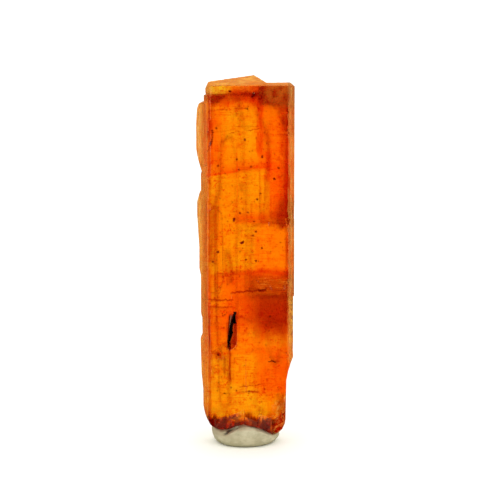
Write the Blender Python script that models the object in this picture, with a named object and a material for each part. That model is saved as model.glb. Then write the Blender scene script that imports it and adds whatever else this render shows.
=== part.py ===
"""Orange kyanite: one bladed crystal standing in a dab of mounting putty.

Metres, +Z up. The broad front face looks towards -Y. The origin is on the surface that the
putty stands on, under the middle of the crystal. Places are given in millimetres and pass
through mm(), which turns them into metres.
"""

import math

import bmesh
import bpy
from mathutils import Matrix, Vector

MM = 0.001

# The crystal: from its left to its right edge, through its broad faces, and up to its shoulder
BLADE_WIDTH = 9.5 * MM
BLADE_DEPTH = 4.1 * MM
SHOULDER = 35.4 * MM
FOOT = 0.95 * MM

# The broad faces and the side edges that the rest is measured from
FRONT = -BLADE_DEPTH / 2
BACK = BLADE_DEPTH / 2
LEFT = -BLADE_WIDTH / 2
RIGHT = BLADE_WIDTH / 2

# Fine growth lines along the faces
LINE_SPACING = 0.62 * MM
LINE_RELIEF = 0.03 * MM

# Partings: hair-thin clefts across or along the blade, open at a face and closing inside
PARTING_MOUTH = 0.06 * MM
PARTING_LAP = 0.02
PARTING_SWING = 0.04 * MM

# The putty dab: its widest level is above its foot, which is a share of its width
PUTTY_WIDTH = 6.7 * MM
PUTTY_DEPTH = 6.3 * MM
PUTTY_FOOT = 0.76
PUTTY_WAIST = 1.25 * MM
PUTTY_HEIGHT = 2.35 * MM
PUTTY_CLEARANCE = 0.3 * MM

# Cutting shapes reach this far out from the faces
OUTSIDE = 3.0 * MM


def clear_scene():
    for old in list(bpy.data.objects):
        bpy.data.objects.remove(old, do_unlink=True)


def new_collection(name, parent):
    collection = bpy.data.collections.new(name)
    parent.children.link(collection)
    return collection


def finish_material(name, colour, roughness, transmission=0.0, ior=1.5):
    material = bpy.data.materials.new(name)
    material.use_nodes = True
    shader = material.node_tree.nodes["Principled BSDF"]
    shader.inputs["Base Color"].default_value = (*colour, 1.0)
    shader.inputs["Roughness"].default_value = roughness
    shader.inputs["Metallic"].default_value = 0.0
    shader.inputs["Transmission Weight"].default_value = transmission
    shader.inputs["IOR"].default_value = ior
    return material


def mm(*values):
    return tuple(value * MM for value in values)


def place(name, bm, collection, guide=True):
    """Turn a bmesh into a named object, shown as wire where it only grows or cuts another."""
    bmesh.ops.recalc_face_normals(bm, faces=bm.faces)
    mesh = bpy.data.meshes.new(name)
    bm.to_mesh(mesh)
    bm.free()
    piece = bpy.data.objects.new(name, mesh)
    collection.objects.link(piece)
    if guide:
        piece.hide_render = True
        piece.display_type = "WIRE"
    return piece


def draw_out(bm, corners, path):
    """Make a flat face of the corners and draw it out along the path into a solid."""
    base = bm.faces.new(corners)
    grown = bmesh.ops.extrude_face_region(bm, geom=[base])
    far_end = [item for item in grown["geom"] if isinstance(item, bmesh.types.BMVert)]
    bmesh.ops.translate(bm, verts=far_end, vec=path)


def upright_prism(outline, low, high):
    """A plan outline drawn up along the blade."""
    bm = bmesh.new()
    draw_out(bm, [bm.verts.new((x, y, low)) for x, y in outline], (0, 0, high - low))
    return bm


def face_slab(outline, level, far, lean=(0.0, 0.0)):
    """An outline seen from the front, drawn from level to far through the blade.

    The side at level leans by so much per metre across and up, from the first corner on, so
    that a slab can run out into the face it stands on or is cut from.
    """
    bm = bmesh.new()
    draw_out(bm, [bm.verts.new((x, level, z)) for x, z in outline], (0, far - level, 0))
    start_x, start_z = outline[0]
    for vert in bm.verts:
        if abs(vert.co.y - level) < abs(vert.co.y - far):
            vert.co.y += lean[0] * (vert.co.x - start_x) + lean[1] * (vert.co.z - start_z)
    return bm


def cleave(bm, point, normal):
    """Break a solid along a plane, drop what the normal points to, and close the break."""
    everything = bm.verts[:] + bm.edges[:] + bm.faces[:]
    cut = bmesh.ops.bisect_plane(
        bm, geom=everything, plane_co=point, plane_no=Vector(normal).normalized(), clear_outer=True
    )
    rim = [item for item in cut["geom_cut"] if isinstance(item, bmesh.types.BMEdge)]
    bmesh.ops.holes_fill(bm, edges=rim, sides=0)


def growth_lines(outline):
    """The same outline with low, uneven ridges along its long sides."""
    lined = []
    for index, start in enumerate(outline):
        end = outline[(index + 1) % len(outline)]
        run = Vector(end) - Vector(start)
        outward = Vector((run.y, -run.x)).normalized()
        steps = max(1, round(run.length / LINE_SPACING))
        lined.append(start)
        for step in range(1, steps):
            phase = 2.4 * step + 1.7 * index
            share = (step + 0.3 * math.sin(phase)) / steps
            height = 0.6 * LINE_RELIEF * (math.cos(2.9 * phase) - 1.0)
            lined.append(tuple(Vector(start) + share * run + height * outward))
    return lined


def block(low, high, turn=(0, 0, 0)):
    """A box between two corners, turned about its middle by degrees on X, Y and Z."""
    bm = bmesh.new()
    bmesh.ops.create_cube(bm, size=1.0)
    size = Vector(high) - Vector(low)
    turned = Matrix.Identity(4)
    for axis, angle in zip("XYZ", turn):
        turned = Matrix.Rotation(math.radians(angle), 4, axis) @ turned
    middle = Matrix.Translation((Vector(low) + Vector(high)) / 2)
    bm.transform(middle @ turned @ Matrix.Diagonal((*size, 1.0)))
    return bm


def hull(points):
    """The flat-faced solid stretched over a few points, for chips and clefts."""
    bm = bmesh.new()
    for point in points:
        bm.verts.new(point)
    wrapped = bmesh.ops.convex_hull(bm, input=bm.verts)
    bmesh.ops.delete(bm, geom=wrapped["geom_interior"], context="VERTS")
    return bm


def parting(near, far, near_reach, far_reach):
    """A wedge-thin cleft: its mouth runs from near to far, and it closes along its reach."""
    across = (far - near).cross(near_reach).normalized() * PARTING_MOUTH / 2
    mouth = [near + across, near - across, far + across, far - across]
    return hull(mouth + [near + near_reach, far + far_reach])


def parting_row(breaks, name, start, end, inward, pieces, unevenness=0.15):
    """A parting made of short clefts whose line wanders a little and whose depth is uneven."""
    start, end, inward = Vector(mm(*start)), Vector(mm(*end)), Vector(mm(*inward))
    off_line = (end - start).cross(inward).normalized()
    line = []
    for index in range(pieces + 1):
        swing = math.sin(2.3 * index + 1.1 * pieces)
        depth = 1.0 - unevenness * (0.5 + 0.5 * math.sin(4.1 * index + 0.7 * pieces))
        point = start.lerp(end, index / pieces) + off_line * PARTING_SWING * swing
        line.append((point, inward * depth + off_line * PARTING_SWING * 2 * swing))
    for index, ((near, near_reach), (far, far_reach)) in enumerate(zip(line, line[1:])):
        lap = (far - near) * PARTING_LAP
        bm = parting(near - lap, far + lap, near_reach, far_reach)
        place(f"{name}_{index + 1}", bm, breaks)


def grow_left_blade(parts):
    """The taller of the two intergrown blades; its top slopes up towards the back."""
    outline = growth_lines([
        mm(-3.35, -2.05), mm(1.45, -2.05), mm(2.30, -1.20), mm(2.30, 1.90), mm(-0.90, 2.05),
        mm(-2.85, 1.90), mm(-3.55, 1.45), mm(-3.95, 0.75), mm(-4.02, -0.15), mm(-3.95, -0.80),
    ])
    bm = upright_prism(outline, FOOT / 2, SHOULDER + OUTSIDE)
    cleave(bm, mm(-3.70, -2.05, 35.38), (-0.024, -0.22, 1.0))
    cleave(bm, mm(1.40, -1.00, 36.05), (0.60, 0.15, 0.75))
    cleave(bm, mm(-3.98, -0.60, 34.90), (-0.80, -0.10, 0.42))
    cleave(bm, mm(-3.55, -2.05, 34.00), (-0.62, -0.78, 0.012))
    return place("left_blade", bm, parts, guide=False)


def grow_right_blade(blades):
    """The lower, thicker blade on the right."""
    outline = growth_lines([
        mm(0.80, -1.60), mm(1.40, -2.08), mm(4.13, -2.06), mm(4.36, -1.74), mm(4.40, -1.32),
        mm(4.62, -1.16), mm(4.75, -0.30), mm(4.66, 0.70), mm(4.46, 0.94), mm(4.34, 1.66),
        mm(3.85, 2.38), mm(1.60, 2.46), mm(0.80, 1.90),
    ])
    bm = upright_prism(outline, FOOT / 2, SHOULDER + OUTSIDE)
    cleave(bm, (0.0, FRONT, SHOULDER), (-0.01, -0.05, 1.0))
    cleave(bm, mm(4.55, -1.0, 35.30), (0.62, -0.05, 0.78))
    place("right_blade", bm, blades)


def grow_side_flakes(blades):
    """Thin blades along the left edge; each tapers out at its ends, so the outline is wavy."""
    flakes = [
        ("upper_flake", 26.0, 33.75,
         [(-3.5, 1.20), (-4.25, 0.95), (-4.74, 0.30), (-4.76, -0.32), (-4.30, -0.92), (-3.5, -1.25)],
         [((-4.30, 0, 33.55), (-0.45, 0.05, 1.0)), ((-4.66, 0, 33.05), (-1.0, 0, 0.42)),
          ((-4.10, 0, 33.62), (0.60, 0, 1.0)), ((-4.70, 0, 32.20), (-1.0, 0.05, 0.075)),
          ((-4.72, 0, 28.90), (-1.0, 0, -0.16)), ((-4.52, 0, 27.90), (-1.0, -0.1, -0.30))]),
        ("middle_flake", 14.0, 25.4,
         [(-3.4, 1.60), (-4.50, 0.70), (-4.70, 0.10), (-4.55, -0.62), (-4.10, -1.22), (-3.4, -1.50)],
         [((-4.40, 0, 24.90), (-0.70, 0.10, 1.0)), ((-4.60, 0, 24.20), (-1.0, 0, 0.30)),
          ((-4.62, 0, 21.60), (-1.0, 0.03, -0.08)), ((-4.46, 0, 18.30), (-1.0, -0.02, -0.055)),
          ((-4.0, 0, 14.60), (-0.4, 0.2, -1.0))]),
        ("lower_flake", 2.0, 11.4,
         [(-3.2, 1.50), (-4.30, 0.90), (-4.56, 0.20), (-4.42, -0.55), (-3.95, -1.36), (-3.2, -1.72)],
         [((-4.24, 0, 10.60), (-0.55, -0.15, 1.0)), ((-4.46, 0, 10.15), (-1.0, 0, 0.42)),
          ((-4.50, 0, 8.90), (-1.0, 0.04, -0.12)), ((-4.30, 0, 7.00), (-1.0, 0, -0.03))]),
        ("edge_flake", 2.0, 27.6,
         [(-3.2, 1.40), (-4.12, 0.80), (-4.33, 0.15), (-4.24, -0.50), (-3.90, -1.30), (-3.2, -1.62)],
         [((-4.10, 0, 27.3), (-1.0, 0, 0.35)), ((-4.24, 0, 14.2), (-1.0, 0.02, -0.012))]),
        ("side_splinter", 16.4, 22.8,
         [(-4.1, 1.1), (-4.46, 0.86), (-4.52, 0.52), (-4.40, 0.18), (-4.1, 0.1)],
         [((-4.5, 0.5, 22.2), (-0.5, 0.6, 1.0)), ((-4.5, 0.5, 17.2), (-0.8, 0.3, -0.35))]),
        ("side_splinter_low", 12.2, 19.0,
         [(-4.0, 0.1), (-4.30, 0.0), (-4.36, -0.4), (-4.22, -0.8), (-3.9, -0.9)],
         [((-4.3, -0.4, 18.3), (-0.6, -0.7, 0.8)), ((-4.3, -0.4, 12.9), (-0.7, -0.4, -0.5))]),
    ]
    for name, low, high, outline, cuts in flakes:
        bm = upright_prism([mm(*corner) for corner in outline], low * MM, high * MM)
        for point, normal in cuts:
            cleave(bm, mm(*point), normal)
        place(name, bm, blades)


def grow_front_sheets(blades):
    """Low sheets left standing on the front face where their neighbours split away."""
    sheets = [
        ("left", 0.07, [(-3.6, 15.4), (-2.62, 15.3), (-2.20, 16.4), (-2.22, 22.9), (-2.9, 23.7),
                        (-3.6, 23.3)], (0.006, 0.004)),
        ("shoulder", 0.05, [(-3.6, 24.1), (-1.6, 23.8), (-0.83, 24.6), (-0.80, 27.0), (-3.6, 26.6)],
         (0.005, 0.010)),
        ("middle", 0.06, [(-0.62, 27.3), (1.55, 27.5), (1.50, 29.4), (0.9, 30.7), (-0.60, 30.1)],
         (0.010, 0.004)),
        ("right", 0.09, [(2.42, 22.6), (4.30, 22.3), (4.30, 27.7), (3.3, 28.6), (2.46, 27.2)],
         (0.012, 0.003)),
        ("high", 0.05, [(-3.6, 31.0), (-2.2, 31.05), (0.9, 31.7), (1.2, 32.6), (-3.6, 32.1)],
         (0.006, 0.012)),
        ("low_middle", 0.06, [(0.1, 5.4), (2.1, 5.9), (2.4, 8.3), (1.4, 9.7), (0.05, 9.1)],
         (-0.008, 0.006)),
    ]
    for name, proud, outline, lean in sheets:
        corners = [mm(*corner) for corner in outline]
        slab = face_slab(corners, FRONT - proud * MM, FRONT / 2, lean)
        place(f"front_sheet_{name}", slab, blades)


def grow_back_sheets(blades):
    """Long splinters standing on the back face; they thicken the blade in upright stripes."""
    sheets = [
        ("left", 0.30, [(-2.9, 9.0), (-1.3, 10.2), (-0.95, 12.5), (-0.9, 28.4), (-1.4, 30.3),
                        (-2.75, 29.0)], (0.02, 0.002)),
        ("middle", 0.34, [(0.15, 14.6), (1.0, 15.3), (1.45, 17.0), (1.5, 26.3), (0.9, 27.9),
                          (0.2, 26.7)], (-0.03, 0.004)),
        ("right", 0.66, [(2.35, 22.9), (3.3, 22.4), (3.55, 24.0), (3.4, 31.8), (2.7, 33.4),
                         (2.3, 31.0)], (0.02, -0.004)),
        ("low", 0.02, [(1.3, 4.9), (2.6, 5.6), (3.3, 7.2), (3.45, 12.9), (2.5, 14.3), (1.35, 12.6)],
         (-0.02, 0.004)),
        ("sliver", 0.24, [(-0.55, 20.8), (-0.2, 21.9), (-0.15, 31.0), (-0.35, 32.6), (-0.6, 31.2)],
         (0.0, 0.003)),
    ]
    for name, proud, outline, lean in sheets:
        corners = [mm(*corner) for corner in outline]
        slab = face_slab(corners, BACK + proud * MM, BACK / 2, lean)
        place(f"back_sheet_{name}", slab, blades)


def split_top(breaks):
    """Behind, the top has split away: on the left down to a ledge, on the right as a roof."""
    plan = [mm(-4.6, -1.25), mm(1.62, 0.95), mm(1.62, 4.5), mm(-5.4, 4.5)]
    ledge = upright_prism(plan, 34.42 * MM, SHOULDER + OUTSIDE)
    along_plate = Vector((6.2, 2.2, 0.0)).normalized()
    bmesh.ops.rotate(
        ledge, verts=ledge.verts, cent=mm(-1.0, 0.2, 34.4),
        matrix=Matrix.Rotation(math.radians(-9), 3, along_plate),
    )
    place("top_ledge", ledge, breaks)
    roof = block(mm(1.30, -0.30, 35.3), mm(6.0, 6.0, 39.0))
    bmesh.ops.rotate(
        roof, verts=roof.verts, cent=mm(3.0, -0.30, 35.3),
        matrix=Matrix.Rotation(math.radians(-37), 3, "X"),
    )
    place("top_roof", roof, breaks)
    place("top_notch", hull([
        mm(-4.6, 3.0, 35.2), mm(-1.2, 3.0, 35.4), mm(-4.6, 3.0, 32.7), mm(-2.0, 3.0, 33.1),
        mm(-4.6, 0.6, 35.0), mm(-2.4, 0.5, 34.6), mm(-4.6, 1.2, 33.0),
    ]), breaks)


def thin_lower_back(breaks):
    """Below the middle the back face has split away in slabs, which leaves the blade thinner."""
    slabs = [
        ("right", 1.75, [(0.5, 21.3), (2.3, 21.9), (5.2, 21.2), (5.2, -1.0), (0.9, -1.0), (0.6, 13.5)],
         (0.045, -0.004)),
        ("middle", 1.58, [(-1.9, 11.6), (-0.6, 12.4), (1.1, 11.9), (1.1, -1.0), (-1.5, -1.0)],
         (0.02, 0.012)),
        ("left", 1.52, [(-2.8, 17.6), (-2.5, 4.0), (-2.6, -1.0), (-5.2, -1.0), (-5.2, 18.4)],
         (0.16, 0.0)),
        ("high", 1.75, [(-2.3, 31.4), (-2.45, 24.6), (-3.0, 23.6), (-5.2, 23.2), (-5.2, 30.4)],
         (0.13, 0.01)),
        ("shallow", 2.12, [(1.6, 21.0), (2.2, 29.0), (1.7, 32.0), (0.6, 31.4), (0.5, 21.6)],
         (-0.03, 0.0)),
    ]
    for name, level, outline, lean in slabs:
        corners = [mm(*corner) for corner in outline]
        place(f"back_slab_{name}", face_slab(corners, level * MM, BACK + OUTSIDE, lean), breaks)
    splinters = [
        ("low", [(1.5, 3.4, 14.9), (4.4, 3.4, 13.6), (1.1, 3.4, 6.9), (4.0, 3.4, 6.1),
                 (2.1, 1.28, 11.9), (3.5, 1.05, 10.9), (2.3, 1.36, 8.6), (3.1, 1.30, 7.9)]),
        ("low_left", [(0.2, 3.4, 12.6), (1.7, 3.4, 12.9), (0.5, 3.4, 7.7), (1.9, 3.4, 7.1),
                      (0.9, 1.42, 11.2), (1.5, 1.30, 9.2)]),
        ("high", [(-3.4, 3.4, 34.6), (0.7, 3.4, 34.8), (-3.1, 3.4, 31.9), (-0.4, 3.4, 30.4),
                  (-2.2, 1.52, 33.8), (-0.6, 1.46, 33.9), (-1.3, 1.78, 31.7)]),
        ("middle", [(-2.6, 3.4, 19.7), (-0.9, 3.4, 20.2), (-2.2, 3.4, 14.9), (-1.3, 3.4, 14.1),
                    (-1.9, 1.74, 18.6), (-1.5, 1.82, 16.0)]),
    ]
    for name, points in splinters:
        place(f"back_splinter_{name}", hull([mm(*point) for point in points]), breaks)


def break_right_edge(breaks):
    """The right edge: a thin flake left standing halfway down, and a step inwards below it."""
    place("flake_relief", hull([
        mm(4.10, -0.92, 14.3), mm(6.0, -1.10, 15.8), mm(3.95, 4.0, 13.1), mm(6.0, 4.0, 14.2),
        mm(4.16, -0.80, 8.3), mm(6.0, -0.90, 7.0), mm(4.02, 4.0, 7.5), mm(6.0, 4.0, 6.0),
    ]), breaks)
    profile = [(4.62, 8.65), (4.18, 7.52), (4.00, 6.60), (3.92, 2.60), (7.00, 2.00), (7.00, 9.60)]
    step = face_slab([mm(*corner) for corner in profile], FRONT - OUTSIDE, BACK + OUTSIDE)
    place("low_step", step, breaks)
    nicks = [
        ("nick_top", (4.60, -0.7, 33.4), 0.7, 1.0, -0.4),
        ("nick_high", (4.58, 0.2, 29.0), 0.9, 2.3, 0.5),
        ("nick_waist", (4.56, -0.5, 23.2), 0.8, 1.5, -0.3),
        ("nick_middle", (4.60, 0.1, 19.0), 0.6, 1.1, 0.3),
        ("nick_flake", (4.62, -0.9, 14.6), 0.5, 0.8, 0.2),
        ("nick_low", (4.52, -1.0, 9.7), 0.5, 1.0, -0.2),
    ]
    for name, centre, half_width, half_height, skew in nicks:
        x, y, z = centre
        place(name, hull([
            mm(x + 0.6, y - half_width + skew, z + half_height),
            mm(x + 0.6, y + half_width + skew, z + 0.7 * half_height),
            mm(x + 0.6, y - half_width - skew, z - 0.8 * half_height),
            mm(x + 0.6, y + half_width - skew, z - half_height),
            mm(x, y + 0.3 * skew, z + 0.4 * half_height),
            mm(x, y - 0.3 * skew, z - 0.5 * half_height),
        ]), breaks)
    back_edge = hull([
        mm(4.9, 0.9, 26.9), mm(5.2, 3.0, 27.8), mm(4.3, 3.0, 26.6), mm(4.9, 0.9, 22.1),
        mm(5.2, 3.0, 20.9), mm(4.2, 3.0, 21.8), mm(4.16, 1.9, 24.9), mm(4.22, 1.8, 22.9),
    ])
    place("nick_back", back_edge, breaks)


def step_front(breaks):
    """Ledges and shallow scales on the front face, which fade out downwards."""
    scales = [
        ("ledge", 0.16, [(-4.0, 14.40), (-1.34, 14.50), (-1.24, 12.2), (-1.5, 8.8), (-4.0, 8.2)],
         (0.0, 0.022)),
        ("second_ledge", 0.30, [(-4.0, 13.66), (-1.62, 13.74), (-1.40, 13.0), (-1.72, 9.6),
                                (-4.0, 9.4)], (0.0, 0.060)),
        ("stair_step", 0.13, [(-1.40, 15.18), (0.42, 15.42), (1.30, 15.36), (1.25, 12.6),
                              (-0.20, 11.6), (-1.30, 12.2)], (0.012, 0.030)),
        ("left_scale", 0.22, [(-4.4, 11.4), (-3.0, 10.8), (-2.45, 9.6), (-2.8, 7.9), (-4.4, 7.2)],
         (-0.10, 0.010)),
        ("heel_scale", 0.17, [(-3.3, 9.3), (-2.6, 9.9), (-2.1, 9.0), (-2.25, 6.3), (-3.1, 5.4)],
         (0.03, 0.035)),
        ("waist_scale", 0.12, [(-1.4, 22.2), (0.3, 22.5), (2.3, 22.3), (2.2, 20.3), (0.4, 19.4)],
         (0.0, 0.038)),
        ("right_scale", 0.16, [(2.0, 9.2), (3.2, 9.7), (4.5, 8.9), (4.5, 6.2), (2.7, 5.4)],
         (0.0, 0.036)),
    ]
    for name, depth, outline, lean in scales:
        corners = [mm(*corner) for corner in outline]
        place(name, face_slab(corners, FRONT + depth * MM, FRONT - OUTSIDE, lean), breaks)
    stairs = [
        ("stair_high", 0.15, [(0.9, 16.52), (1.9, 16.66), (3.1, 16.56), (4.8, 16.72), (4.8, 16.1),
                              (3.2, 15.9), (1.4, 16.2)], 0.24),
        ("stair_middle", 0.19, [(2.3, 16.02), (3.1, 16.12), (3.9, 15.96), (3.7, 15.5), (2.6, 15.4)],
         0.30),
        ("stair_low", 0.15, [(1.2, 15.36), (2.2, 15.16), (3.4, 15.34), (4.8, 15.1), (4.8, 13.9),
                             (3.1, 13.2), (1.5, 13.6)], 0.07),
    ]
    for name, depth, outline, rise in stairs:
        corners = [mm(*corner) for corner in outline]
        place(name, face_slab(corners, FRONT + depth * MM, FRONT - OUTSIDE, (0.0, rise)), breaks)


def open_cleft(breaks):
    """The dark cleft low on the front face, left of the middle, and the seam that runs on below."""
    place("cleft", hull([
        mm(-1.03, -2.6, 13.45), mm(-0.84, -2.6, 12.3), mm(-0.72, -2.6, 11.1), mm(-0.74, -2.6, 9.95),
        mm(-1.58, -2.6, 9.35), mm(-1.70, -2.6, 10.4), mm(-1.46, -2.6, 12.0),
        mm(-1.10, -0.55, 12.6), mm(-1.30, -0.45, 10.6), mm(-1.72, -0.75, 9.7), mm(-1.52, -0.6, 11.6),
    ]), breaks)
    parting_row(breaks, "seam", (-1.62, -2.2, 9.7), (-1.44, -2.2, 6.2), (-0.45, 1.5, 0), 3)
    parting_row(breaks, "heel_seam", (-2.0, -2.2, 8.6), (-1.98, -2.2, 7.0), (0.3, 0.9, 0), 2)


def open_partings(breaks):
    """Hair-thin clefts, nearly square to the blade, that show as red bands through its face."""
    parting_row(breaks, "shoulder_left", (-3.8, -2.2, 26.45), (-0.82, -2.2, 26.88), (0.1, 2.1, 1.0), 6)
    parting_row(breaks, "shoulder_right", (-0.86, -2.2, 27.02), (2.42, -2.2, 27.42), (0.1, 1.8, 0.85), 6)
    parting_row(breaks, "waist", (-0.2, -2.2, 22.15), (4.3, -2.2, 21.95), (0.1, 2.4, 0.45), 8)
    parting_row(breaks, "hip", (-3.3, -2.2, 16.85), (1.0, -2.2, 17.32), (0, 1.8, 0.22), 6)
    parting_row(breaks, "blade_seam_high", (1.28, -2.2, 35.9), (1.62, -2.2, 31.8), (0.50, 1.3, 0), 4)
    parting_row(breaks, "blade_seam_low", (1.60, -2.2, 31.9), (1.42, -2.2, 28.5), (0.45, 1.1, 0), 3)
    parting_row(breaks, "blade_seam_foot", (1.95, -2.2, 28.4), (2.36, -2.2, 26.2), (0.35, 1.0, 0), 2)
    parting_row(breaks, "back_high", (-3.3, 2.2, 30.6), (2.2, 2.5, 31.2), (0, -1.6, -0.25), 6)
    parting_row(breaks, "back_middle", (-2.9, 2.4, 20.1), (0.4, 2.4, 19.6), (0, -1.5, 0.2), 4)
    parting_row(breaks, "back_right", (2.2, 2.3, 18.4), (4.7, 1.9, 18.7), (-0.2, -1.3, 0.3), 3)


def underside(drop=0.0):
    """Front outline of the space under the crystal: a broken edge that arches in the middle."""
    broken = [
        mm(-4.45, 5.6), mm(-4.20, 4.2), mm(-4.02, 3.2), mm(-3.76, 2.6), mm(-3.42, 2.00),
        mm(-2.95, 1.60), mm(-2.35, 1.42), mm(-1.60, 1.42), mm(-0.85, 1.70), mm(0.0, 1.90),
        mm(0.90, 1.78), mm(1.80, 1.32), (2.60 * MM, FOOT), mm(3.20, 1.02), mm(3.62, 1.40),
        mm(3.86, 1.98), mm(3.98, 2.8), mm(4.2, 4.2),
    ]
    return [(x, z - drop) for x, z in broken]


def break_foot(breaks):
    """The broken lower end: an arched underside and slanting chips all round its rim."""
    outline = underside() + [mm(8, 4.2), mm(8, -4), mm(-8, -4), mm(-8, 5.6)]
    slab = face_slab(outline, FRONT - OUTSIDE, BACK + OUTSIDE)
    place("underside_break", slab, breaks)
    front_chips = [
        (-5.00, -2.87, (-3.6, 3.00), (-0.35, -0.55)),
        (-3.03, -1.47, (-2.3, 2.95), (0.10, -0.60)),
        (-1.63, -0.07, (-0.9, 3.35), (0.34, -0.72)),
        (-0.23, 1.33, (0.55, 2.70), (-0.30, -0.66)),
        (1.17, 2.53, (1.90, 3.05), (-0.16, -0.60)),
        (2.37, 5.00, (3.00, 3.20), (0.55, -0.50)),
    ]
    back_chips = [
        (-5.00, -1.50, (-2.8, 3.60), (-0.25, -0.62)),
        (-1.70, 1.70, (0.0, 3.10), (0.12, -0.55)),
        (1.50, 5.00, (2.9, 3.40), (0.42, -0.50)),
    ]
    for side, face, chips in (("front", FRONT, front_chips), ("back", 0.8 * BACK, back_chips)):
        facing = math.copysign(1.0, face)
        for index, (left, right, (x, z), (across, down)) in enumerate(chips):
            bm = block(mm(left, -5.0, -2.0), mm(right, 5.0, 6.0))
            cleave(bm, (x * MM, face, z * MM), (-across, -facing, -down))
            place(f"foot_chip_{side}_{index + 1}", bm, breaks)


def chip_faces(breaks):
    """Small flat-faced chips: the lower right corner, and pits on the faces."""
    chips = [
        ("corner_chip", [(4.4, -2.4, 6.6), (4.4, -2.4, 3.6), (3.35, -2.4, 4.6), (4.4, -0.9, 4.9)]),
        ("corner_chip_low", [(4.4, -2.5, 4.2), (4.3, -2.5, 2.0), (3.2, -2.5, 3.6), (4.2, -1.0, 2.9)]),
        ("corner_splinter", [(3.1, -2.4, 6.5), (3.5, -2.4, 6.2), (3.3, -2.4, 4.4), (3.42, -1.6, 5.4)]),
        ("red_chip", [(3.45, -2.3, 5.75), (3.82, -2.3, 5.2), (3.30, -2.3, 4.3), (3.62, -1.45, 5.0)]),
        ("pit_high", [(-1.75, -2.3, 35.1), (-1.2, -2.3, 35.0), (-1.55, -2.3, 34.75), (-1.5, -1.75, 34.95)]),
        ("pit_plate", [(0.45, -2.3, 34.95), (1.0, -2.3, 34.9), (0.75, -2.3, 34.45), (0.8, -1.6, 34.75)]),
        ("pit_right", [(3.55, -2.4, 33.3), (4.3, -2.4, 32.9), (3.7, -2.4, 32.4), (4.1, -1.5, 32.8)]),
        ("pit_edge", [(4.0, -2.5, 31.2), (4.4, -2.5, 31.3), (4.2, -2.5, 30.2), (4.1, -1.3, 30.7)]),
        ("pit_waist", [(3.7, -2.5, 22.9), (4.4, -2.5, 22.6), (4.0, -2.5, 21.4), (4.1, -1.2, 22.2)]),
        ("pit_low", [(-3.0, -2.3, 9.0), (-2.3, -2.3, 9.2), (-2.5, -2.3, 8.0), (-2.6, -1.3, 8.7)]),
        ("pit_back", [(-1.0, 2.6, 26.0), (0.4, 2.6, 25.2), (-0.7, 2.6, 24.4), (-0.4, 1.6, 25.2)]),
        ("pit_back_low", [(-1.4, 2.4, 9.6), (-0.1, 2.4, 8.8), (-1.2, 2.4, 6.8), (-0.8, 1.1, 8.4)]),
        ("pit_side", [(-4.9, -0.4, 12.4), (-4.9, 0.6, 12.0), (-4.9, 0.0, 11.0), (-3.95, 0.1, 11.7)]),
        ("pit_side_high", [(-4.9, 0.2, 31.2), (-4.9, 0.9, 30.6), (-4.9, 0.1, 29.4), (-4.3, 0.4, 30.4)]),
    ]
    for name, points in chips:
        place(name, hull([mm(*point) for point in points]), breaks)


def build_crystal(parts, guides):
    """Blades joined into one crystal, and the breaks then taken out of it."""
    blades = new_collection("crystal_blades", guides)
    breaks = new_collection("crystal_breaks", guides)
    crystal = grow_left_blade(parts)
    crystal.name = "kyanite_crystal"
    grow_right_blade(blades)
    grow_side_flakes(blades)
    grow_front_sheets(blades)
    grow_back_sheets(blades)
    split_top(breaks)
    thin_lower_back(breaks)
    break_right_edge(breaks)
    step_front(breaks)
    open_cleft(breaks)
    open_partings(breaks)
    break_foot(breaks)
    chip_faces(breaks)
    for name, operation, operand in (("grow", "UNION", blades), ("break", "DIFFERENCE", breaks)):
        boolean = crystal.modifiers.new(name, "BOOLEAN")
        boolean.operation = operation
        boolean.operand_type = "COLLECTION"
        boolean.collection = operand
        boolean.solver = "EXACT"
    gem = finish_material("orange_kyanite", (0.95, 0.30, 0.02), 0.08, transmission=0.9, ior=1.72)
    crystal.data.materials.append(gem)


def build_putty(parts, guides):
    """A pressed ball of putty: a flat foot, a bulging side, and a top moulded to the crystal."""
    bm = bmesh.new()
    bmesh.ops.create_uvsphere(bm, u_segments=48, v_segments=20, radius=1.0)
    for vert in bm.verts:
        height = vert.co.z
        swell = math.sqrt(max(0.0, 1.0 - height * height))
        if height < 0:
            level = PUTTY_WAIST * (1.0 + height)
            radius = (PUTTY_FOOT + (1.0 - PUTTY_FOOT) * swell) if height > -0.999 else 0.0
        else:
            level = PUTTY_WAIST + (PUTTY_HEIGHT - PUTTY_WAIST) * height
            radius = swell
        around = math.atan2(vert.co.y, vert.co.x)
        lump = 1.0 + 0.020 * math.sin(3 * around + 0.6) + 0.012 * math.sin(5 * around)
        across = radius * lump * math.cos(around) * PUTTY_WIDTH / 2
        along = radius * lump * math.sin(around) * PUTTY_DEPTH / 2
        vert.co = (across, along, max(0.0, level))
    putty = place("mounting_putty", bm, parts, guide=False)
    above = underside(PUTTY_CLEARANCE) + [mm(5, 8), mm(-5, 8)]
    seat = place("putty_seat", face_slab(above, FRONT - OUTSIDE, BACK + OUTSIDE), guides)
    hollow = putty.modifiers.new("seat", "BOOLEAN")
    hollow.operation = "DIFFERENCE"
    hollow.object = seat
    hollow.solver = "EXACT"
    putty.data.materials.append(finish_material("grey_putty", (0.58, 0.57, 0.50), 0.55))


def main():
    clear_scene()
    root = bpy.context.scene.collection
    parts = new_collection("orange_kyanite", root)
    guides = new_collection("guides", root)
    build_crystal(parts, guides)
    build_putty(parts, guides)


main()
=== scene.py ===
import math
import random

import bmesh
import bpy
from mathutils import Matrix, Vector, noise
from mathutils.bvhtree import BVHTree


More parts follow.
